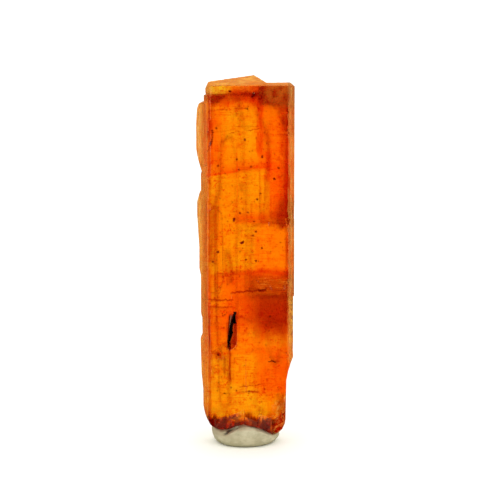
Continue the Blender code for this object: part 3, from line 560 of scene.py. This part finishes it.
# The growth faces are glassy, and the broad face's flakes, the flanks and the top are duller.
REFRACTION = 1.72
DEPTH_COLOUR = (0.994, 0.831, 0.0, 1.0)
DEPTH_DENSITY = 1640
GLASSY = 0.16
rough = maths(tree, "MAXIMUM",
    zone(tree, (gem_y, -1.6, 1.2, 0.31, 0.36), (gem_z, 2.9, 3.6, 0.62, 1.0)),
    fade(tree, gem_x, -3.9, -3.4, 0.50, GLASSY),
    fade(tree, gem_x, 4.05, 4.25, GLASSY, 0.46),
    fade(tree, gem_z, 35.35, 35.55, GLASSY, 0.45))
feed(tree, rough, gem_shader.inputs["Roughness"])
gem_shader.inputs["Transmission Weight"].default_value = 1.0
gem_shader.inputs["IOR"].default_value = REFRACTION
depth_colour = tree.nodes.new("ShaderNodeVolumeAbsorption")
depth_colour.inputs["Color"].default_value = DEPTH_COLOUR
depth_colour.inputs["Density"].default_value = DEPTH_DENSITY
feed(tree, depth_colour.outputs["Volume"], tree.nodes["Material Output"].inputs["Volume"])
crystal_mesh.materials.clear()
crystal_mesh.materials.append(gem)

bm = bmesh.new()
bm.from_mesh(crystal_mesh)
to_metres(bm, crystal_mesh)
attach(crystal, "root")
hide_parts("kyanite_crystal")

# Inside the crystal lie dark brown mineral grains, most of them close under the broad face, and
# one veinlet of them at the upper left. They grew in with the crystal.
GRAIN_SEED = 7
GRAIN_SWELL = 1.05
GRAIN_DEPTH = (0.01, 0.08)
GRAIN_FLATNESS, GRAIN_LENGTH = 0.6, (0.9, 1.6)
GRAIN_LUMPS = (0.55, 1.45)
GRAIN_TURN = 0.9
GRAIN_DULLNESS = 0.6
SMALL_GRAINS = 240
SMALL_ACROSS, SMALL_UP = (-3.4, 3.9), (4.0, 34.5)
SMALL_RADIUS, SMALL_DEPTH = (0.03, 0.065), (0.05, 1.6)
SMALL_FLATNESS, SMALL_LENGTH = 0.7, (0.8, 1.6)
IN_FRONT = -9
DARK_GRAIN = (0.16, 0.005, 0.0, 1)
RED_GRAIN = (0.70, 0.045, 0.0, 1)

under_face = BVHTree.FromPolygons([vert.co for vert in bare_surface.vertices],
                                  [face.vertices[:] for face in bare_surface.polygons])
dice = random.Random(GRAIN_SEED)
bm = bmesh.new()


def add_grain(x, z, radius, depth, stretch):
    """One irregular grain at a depth behind the broad face; none where there is no room."""
    met, *_ = under_face.ray_cast(Vector((x, IN_FRONT, z)), Vector((0, 1, 0)))
    if met is None:
        return
    centre = Vector((x, met.y + depth + radius, z))
    grown = bmesh.ops.create_icosphere(bm, subdivisions=1, radius=radius)["verts"]
    for vert in grown:
        vert.co *= dice.uniform(*GRAIN_LUMPS)
    bmesh.ops.scale(bm, verts=grown, vec=stretch)
    bmesh.ops.rotate(bm, verts=grown, cent=(0, 0, 0),
                     matrix=Matrix.Rotation(dice.uniform(-GRAIN_TURN, GRAIN_TURN), 3, "Y"))
    bmesh.ops.translate(bm, verts=grown, vec=centre)


for x, z, radius in (
    (-2.78, 31.32, 0.11), (-3.56, 30.97, 0.10), (-0.05, 30.18, 0.11), (-2.63, 27.70, 0.08),
    (-0.83, 28.30, 0.09), (0.54, 27.61, 0.10), (1.61, 28.60, 0.11), (-0.63, 27.31, 0.08),
    (3.17, 27.46, 0.15), (2.78, 26.42, 0.13), (1.46, 24.98, 0.09), (1.12, 24.44, 0.09),
    (-2.44, 24.54, 0.06), (-1.12, 22.46, 0.14), (-0.54, 23.05, 0.09), (0.24, 23.15, 0.10),
    (0.83, 22.26, 0.09), (1.02, 21.27, 0.11), (0.73, 20.87, 0.08), (-0.34, 20.18, 0.15),
    (1.61, 19.69, 0.08), (-2.68, 19.29, 0.12), (-3.17, 18.30, 0.11), (0.05, 18.50, 0.09),
    (1.02, 18.40, 0.14), (-1.51, 34.85, 0.13), (0.73, 34.58, 0.17), (0.70, 34.40, 0.14),
    (2.39, 12.95, 0.13), (-2.00, 13.05, 0.07), (-2.19, 12.95, 0.06), (-2.10, 11.77, 0.07),
    (2.68, 8.45, 0.08), (-1.41, 5.83, 0.08), (-0.88, 5.53, 0.08), (0.34, 5.48, 0.08),
    (-2.68, 9.09, 0.10), (-3.20, 31.10, 0.09), (-3.14, 30.90, 0.09), (-3.17, 30.70, 0.08),
    (-3.17, 30.45, 0.11), (-3.20, 30.25, 0.10), (-3.25, 30.05, 0.10), (-3.33, 29.85, 0.12),
    (-3.36, 29.65, 0.10), (-3.46, 29.45, 0.12), (-3.50, 29.25, 0.10), (-3.56, 29.05, 0.09),
):
    add_grain(x, z, GRAIN_SWELL * radius, dice.uniform(*GRAIN_DEPTH),
              (1.0, GRAIN_FLATNESS, dice.uniform(*GRAIN_LENGTH)))
for _ in range(SMALL_GRAINS):
    add_grain(dice.uniform(*SMALL_ACROSS), dice.uniform(*SMALL_UP), dice.uniform(*SMALL_RADIUS),
              dice.uniform(*SMALL_DEPTH), (1.0, SMALL_FLATNESS, dice.uniform(*SMALL_LENGTH)))


def piece_from(bm, name):
    """A new piece from a bmesh in millimetres."""
    piece = bpy.data.objects.new(name, bpy.data.meshes.new(name))
    to_metres(bm, piece.data)
    bpy.context.scene.collection.objects.link(piece)
    return piece


grains = piece_from(bm, "dark_grains")
rust, rust_tree, rust_shader, rust_place, _ = new_finish("dark_grains")
feed(rust_tree, tinted(rust_tree, grain(rust_tree, rust_place, (4, 4, 4), 2.0),
                       DARK_GRAIN, RED_GRAIN), rust_shader.inputs["Base Color"])
rust_shader.inputs["Roughness"].default_value = GRAIN_DULLNESS
grains.data.materials.append(rust)
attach(grains, "root")

# The cleft low on the broad face has gaped open, and the black in it is painted shade: a dull
# black sheet laid on the crystal's own surface over the cleft's walls.
SHEET_LIFT = 0.006
CLEFT_SPAN = (9.6, 13.4)
CLEFT_DEPTH = (-1.98, -0.3)
CLEFT_RIGHT = -0.88
WAVY_END = ((4, 3, 0.12),)
SHADE_DULLNESS, SHADE_GLOSS = 0.7, 0.04
SHADE_BLACK = (0.006, 0.0015, 0.0005, 1)
SHADE_BROWN = (0.05, 0.006, 0.001, 1)


def takes_cleft_shade(face):
    """The walls of the cleft that take the painted shade, without the lower part of its right
    wall.
    """
    point = face.calc_center_median()
    x, y, z = point
    # The left wall leans to the right in its upper part. The painted shade's wavy end runs to the
    # right up the right wall, and back to the left towards the cleft's foot.
    left_edge = -1.54 + 0.297 * (z - 12.0) if z > 12.0 else -1.78 + 0.15 * abs(z - 10.4)
    end = -1.22 + 0.9 * max(0.0, z - 11.8) - 0.35 * max(0.0, 10.8 - z) + ripple(point, WAVY_END)
    return (CLEFT_SPAN[0] < z < CLEFT_SPAN[1] and CLEFT_DEPTH[0] < y < CLEFT_DEPTH[1]
            and left_edge < x < min(end, CLEFT_RIGHT))


def sheet_on_crystal(name, is_covered):
    """A new piece: the crystal's covered faces, lifted off it by a thin sheet's thickness."""
    bm = bmesh.new()
    bm.from_mesh(bare_surface)
    bm.normal_update()
    bare = [face for face in bm.faces if not is_covered(face)]
    bmesh.ops.delete(bm, geom=bare, context="FACES")
    for vert, lift in [(vert, vert.normal * SHEET_LIFT) for vert in bm.verts]:
        vert.co += lift
    return piece_from(bm, name)


# a dark sheet of painted shade over the cleft's walls, black with patches of dark brown
cleft_painted_shade = sheet_on_crystal("cleft_painted_shade", takes_cleft_shade)
shade_finish, shade_tree, shade_shader, shade_place, _ = new_finish("painted_cleft_shade")
shade_patches = fade(shade_tree, grain(shade_tree, shade_place, (3, 3, 3), 4.0), 0.45, 0.70)
feed(shade_tree, tinted(shade_tree, shade_patches, SHADE_BLACK, SHADE_BROWN),
     shade_shader.inputs["Base Color"])
shade_shader.inputs["Roughness"].default_value = SHADE_DULLNESS
shade_shader.inputs["Specular IOR Level"].default_value = SHADE_GLOSS
cleft_painted_shade.data.materials.append(shade_finish)
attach(cleft_painted_shade, "root")

# Where the flanks are flaked, the top is worn and chips have come off, the crystal's own surface
# is finely frosted: a satin skin that catches the light, over the clear body. Its pale streaks on
# the brown step are painted reflections, and two bright lines on the flank edges are painted
# highlights.
FROSTED_PLACES = (
    # x from, to, y up to, z from, to, turned to the right by more than
    (-9, -3.1, 9, -9, 99, -9),       # the left flank
    (3.9, 9, 9, -9, 99, -9),         # the right flank
    (2.5, 9, 9, -9, 99, 0.4),        # the sides of the right flank's chips
    (-9, 9, 9, 35.0, 99, -9),        # the worn top
    (0.9, 9, -0.8, 32.8, 99, -9),    # the block below the top
    # the brown step's pale streaks are painted reflections
    (0.6, 9, -0.8, 15.2, 17.2, -9),  # the brown step
    (2.0, 9, 9, -9, 5.0, -9),        # the chipped corner of the foot
)
SATIN_ROUGHNESS, SATIN_GLOSS = 0.45, 0.12
DEEP_FROST = (0.85, 0.32, 0.02, 1)
PALE_FROST = (0.98, 0.52, 0.07, 1)
RED_FROST = (0.92, 0.24, 0.008, 1)
GOLD_FROST = (0.76, 0.25, 0.03, 1)


def is_frosted(face):
    """Whether a face lies in one of the frosted places."""
    x, y, z = face.calc_center_median()
    return any(left < x < right and y < behind and low < z < high and face.normal.x > turned
               for left, right, behind, low, high, turned in FROSTED_PLACES)


satin = sheet_on_crystal("satin_skin", is_frosted)
frost, film, film_shader, film_place, (film_x, film_y, film_z) = new_finish("satin_frost")
facing = film.nodes.new("ShaderNodeSeparateXYZ")
feed(film, film.nodes.new("ShaderNodeNewGeometry").outputs["Normal"], facing.inputs["Vector"])
streaks = grain(film, film_place, (7.0, 7.0, 0.45), 6.0, 0.65)
painted_reflection_streaks = grain(film, film_place, (0.9, 0.5, 6.0), 4.0, 0.65)
flakes = grain(film, film_place, (1.6, 1.6, 1.1), 5.0, 0.6)
small_flakes = grain(film, film_place, (3.4, 3.4, 2.2), 6.0, 0.65)
frosted = [zone(film, *fades) for fades in (
    # the flaked left flank, and the gold corner of the crown
    ((film_x, -4.5, -3.5, 0.62, 0.0), (streaks, 0.30, 0.65, 0.60, 1.0)),
    ((film_x, -3.5, -3.0, 0.55, 0.0), (film_z, 34.3, 34.9)),
    # the right flank: its rim, its side and its chips
    ((film_x, 4.15, 4.55, 0.0, 0.46), (streaks, 0.34, 0.68, 0.25, 0.95),
     (film_z, 21.0, 26.0, 0.45, 1.0)),
    ((facing.outputs["X"], 0.5, 0.85, 0.0, 0.42), (film_x, 2.4, 3.0),
     (streaks, 0.32, 0.68, 0.35, 1.0)),
    ((film_x, 3.9, 4.4, 0.0, 0.62), (small_flakes, 0.36, 0.62, 0.25, 1.0),
     (film_z, 7.5, 9.0), (film_z, 14.5, 16.0, 1.0, 0.0)),
    # the worn top, and the block below it at the right
    ((film_z, 35.32, 35.50, 0.0, 0.80), (flakes, 0.30, 0.60, 0.80, 1.0)),
    ((film_x, 0.9, 2.2, 0.0, 0.24), (film_z, 32.9, 34.7), (flakes, 0.38, 0.60, 0.25, 1.0)),
    # the step above the hollow, its pale streaks painted reflections, and the chipped corner of
    # the foot
    ((film_x, 0.7, 2.0, 0.0, 0.40), (film_z, 15.4, 16.0), (film_z, 16.5, 17.0, 1.0, 0.0),
     (painted_reflection_streaks, 0.48, 0.66)),
    ((film_x, 2.4, 2.9, 0.0, 0.36), (film_z, 4.2, 4.8, 1.0, 0.0), (small_flakes, 0.42, 0.66)),
)]
film_colour = tinted(film, fade(film, flakes, 0.35, 0.65), DEEP_FROST, PALE_FROST)
redder = zone(film, (film_x, 0.0, 0.5), (film_x, 3.9, 4.3, 1.0, 0.0),
              (film_z, 5.0, 6.0), (film_z, 35.6, 35.8, 1.0, 0.0))
film_colour = tinted(film, redder, film_colour, RED_FROST)
golden = zone(film, (film_z, 35.30, 35.50),
              (grain(film, film_place, (0.7, 1.6, 1.6), 4.0), 0.42, 0.60, 1.0, 0.25))
film_colour = tinted(film, golden, film_colour, GOLD_FROST)

# Upright dark seams run along the flanks, with two bright lines that are painted highlights on the
# flank edges; all wander a little and break off.
seam_and_highlight_across = maths(film, "ADD", film_x,
                    swing(film, grain(film, film_place, (0.6, 0.6, 1.0), 5.0, 0.6), 0.45))
seam_and_highlight_breaks = fade(film, grain(film, film_place, (1.2, 1.2, 0.55), 4.0), 0.38, 0.58, 0.15, 1.0)
for centre, reach, bottom, tone, strength in (
    # middle across, reach to each side, lowest height, tone, strength
    (4.35, 0.38, 15.5, (0.46, 0.12, 0.012, 1), 0.60),
    (-4.15, 0.10, 0.0, (0.45, 0.11, 0.01, 1), 0.60),
    (-3.72, 0.08, 0.0, (0.36, 0.07, 0.01, 1), 0.60),
    # a painted highlight along the left flank's edge
    (-4.52, 0.09, 0.0, (1.0, 0.66, 0.22, 1), 0.70),
    (4.16, 0.12, 15.5, (0.28, 0.05, 0.01, 1), 0.80),
    # a painted highlight along the right flank's rim
    (4.42, 0.04, 15.5, (1.0, 0.66, 0.20, 1), 0.65),
):
    seam_and_highlight = maths(film, "MULTIPLY",
                 zone(film, (seam_and_highlight_across, centre - reach, centre, 0.0, strength),
                      (seam_and_highlight_across, centre, centre + reach, 1.0, 0.0),
                      (film_z, bottom - 1.0, bottom)),
                 seam_and_highlight_breaks)
    frosted.append(seam_and_highlight)
    film_colour = tinted(film, seam_and_highlight, film_colour, tone)
feed(film, film_colour, film_shader.inputs["Base Color"])
feed(film, maths(film, "MAXIMUM", *frosted), film_shader.inputs["Alpha"])
film_shader.inputs["Roughness"].default_value = SATIN_ROUGHNESS
film_shader.inputs["Specular IOR Level"].default_value = SATIN_GLOSS
satin.data.materials.append(frost)
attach(satin, "root")

# The dab of mounting putty: a soft grey ball pressed flat on the surface. The crystal's broken
# foot is pushed into it, so its top closes up to the crystal, with a low lip and a folded crease.
PUTTY_CELL = 0.075
PUTTY_RISE, LIP_RISE = 0.27, 0.13
TOP_FACING, TOP_FROM = (0.1, 0.6), (0.3, 0.8)
LIP_STARTS, LIP_ENDS = (2.02, 2.30), (2.5, 3.0)
SMOOTH_ROUNDS, SMOOTH_FROM = 6, 0.2
DENT, DENTS_FROM = 0.045, (0.05, 0.4)
PRESSED_SLOPE = 0.176
FOLD_RISE = 0.53
CREASES = (
    # across from, to, height there, rise, depth, width: the fold at the left, and the lip along
    # the crystal, both in front. Heights are taken along the slope that the dab is pressed to.
    (-2.2, -0.7, 1.93, FOLD_RISE, 0.32, 0.10),
    (0.5, 2.6, 1.36, -0.36, 0.07, 0.08),
)
CREASES_BEFORE = -0.8
PUTTY_ROUGHNESS = (0.50, 0.72)
PRINT_MIDDLE = (-0.9, 2.5, -1.0)
PRINT_PITCH, PRINT_WANDER, PRINT_DETAIL, PRINT_SHARE = 1.1, 2.2, 0.6, 0.3
PRINT_STRENGTH, PRINT_DEPTH = 0.5, 0.05 * MM
PUTTY_DEEP = (0.44, 0.395, 0.235, 1)
PUTTY_PALE = (0.56, 0.505, 0.325, 1)
PUTTY_FOOT = (0.34, 0.31, 0.175, 1)
PUTTY_SPECK = (0.30, 0.26, 0.15, 1)
PUTTY_CONTACT = (0.36, 0.28, 0.16, 1)
PUTTY_FOLD_SHADOW = (0.06, 0.045, 0.03, 1)


def eased(value, low, high):
    """0 below low, 1 above high, and a smooth change between."""
    share = min(1.0, max(0.0, (value - low) / (high - low)))
    return share * share * (3 - 2 * share)


putty = skin_of("mounting_putty", "pressed_putty", PUTTY_CELL)
bm = bmesh.new()
bm.from_mesh(putty.data)
bm.normal_update()
for vert, normal in [(vert, vert.normal.copy()) for vert in bm.verts]:
    x, y, z = vert.co
    top = eased(normal.z, *TOP_FACING) * eased(z, *TOP_FROM)
    lip = eased(abs(y), *LIP_STARTS) * (1 - eased(abs(y), *LIP_ENDS))
    vert.co.z += top * (PUTTY_RISE + LIP_RISE * lip)
for _ in range(SMOOTH_ROUNDS):
    wear_down(bm, [vert for vert in bm.verts if vert.co.z > SMOOTH_FROM], 1)
bm.normal_update()
for vert, normal in [(vert, vert.normal.copy()) for vert in bm.verts]:
    x, y, z = vert.co
    free = eased(z, *DENTS_FROM)
    dents = noise.noise((0.9 * x, 0.9 * y, 0.9 * z + 4)) + ripple((x, y, z), ((2.3, 2.3, 0.5),))
    vert.co += normal * DENT * free * dents
    for left, right, level, rise, depth, width in CREASES if y < CREASES_BEFORE else ():
        away = z + PRESSED_SLOPE * y - rise * x - level
        reach = eased(x, left - 0.2, left + 0.3) * (1 - eased(x, right - 0.2, right + 0.2))
        vert.co -= normal * depth * free * reach * math.exp(-(away / width) ** 2)
to_metres(bm, putty.data)

dull, clay, clay_shader, clay_place, (clay_x, clay_y, clay_z) = new_finish("grey_putty")
kneaded = grain(clay, clay_place, (1.1, 1.1, 1.6), 5.0, 0.6)
clay_colour = tinted(clay, fade(clay, kneaded, 0.35, 0.65), PUTTY_DEEP, PUTTY_PALE)
fold_shadow_level = maths(clay, "SUBTRACT",
                   maths(clay, "ADD", clay_z, maths(clay, "MULTIPLY", clay_y, PRESSED_SLOPE)),
                   maths(clay, "MULTIPLY", clay_x, FOLD_RISE))
for fades, tint in (
    # the foot, dark specks, the painted shade against the crystal at the left, and the painted
    # shadow in the fold
    (((clay_z, 0.0, 0.7, 0.75, 0.0),), PUTTY_FOOT),
    (((grain(clay, clay_place, (3.5, 3.5, 5.0), 4.0), 0.60, 0.72, 0.0, 0.5),), PUTTY_SPECK),
    (((clay_x, -1.9, -0.9, 0.75, 0.0), (clay_z, 0.7, 1.3)), PUTTY_CONTACT),
    (((fold_shadow_level, 1.76, 1.86), (fold_shadow_level, 2.00, 2.12, 1.0, 0.0),
      (clay_x, -2.3, -1.7, 0.0, 0.92), (clay_x, -1.0, -0.6, 1.0, 0.0),
      (clay_y, -1.2, -0.8, 1.0, 0.0)), PUTTY_FOLD_SHADOW),
):
    clay_colour = tinted(clay, zone(clay, *fades), clay_colour, tint)
feed(clay, clay_colour, clay_shader.inputs["Base Color"])
feed(clay, fade(clay, kneaded, 0.35, 0.65, *PUTTY_ROUGHNESS), clay_shader.inputs["Roughness"])
off_centre = clay.nodes.new("ShaderNodeMapping")
off_centre.inputs["Location"].default_value = PRINT_MIDDLE
feed(clay, clay_place, off_centre.inputs["Vector"])
prints = clay.nodes.new("ShaderNodeTexWave")
prints.wave_type = "RINGS"
prints.inputs["Scale"].default_value = PRINT_PITCH
prints.inputs["Distortion"].default_value = PRINT_WANDER
prints.inputs["Detail Scale"].default_value = PRINT_DETAIL
feed(clay, off_centre.outputs["Vector"], prints.inputs["Vector"])
relief = maths(clay, "ADD", maths(clay, "MULTIPLY", prints.outputs["Fac"], PRINT_SHARE),
               grain(clay, clay_place, (5.0, 5.0, 5.0), 4.0))
pressed = clay.nodes.new("ShaderNodeBump")
pressed.inputs["Strength"].default_value = PRINT_STRENGTH
pressed.inputs["Distance"].default_value = PRINT_DEPTH
feed(clay, relief, pressed.inputs["Height"])
feed(clay, pressed.outputs["Normal"], clay_shader.inputs["Normal"])
putty.data.materials.clear()
putty.data.materials.append(dull)
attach(putty, "root")
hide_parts("mounting_putty")
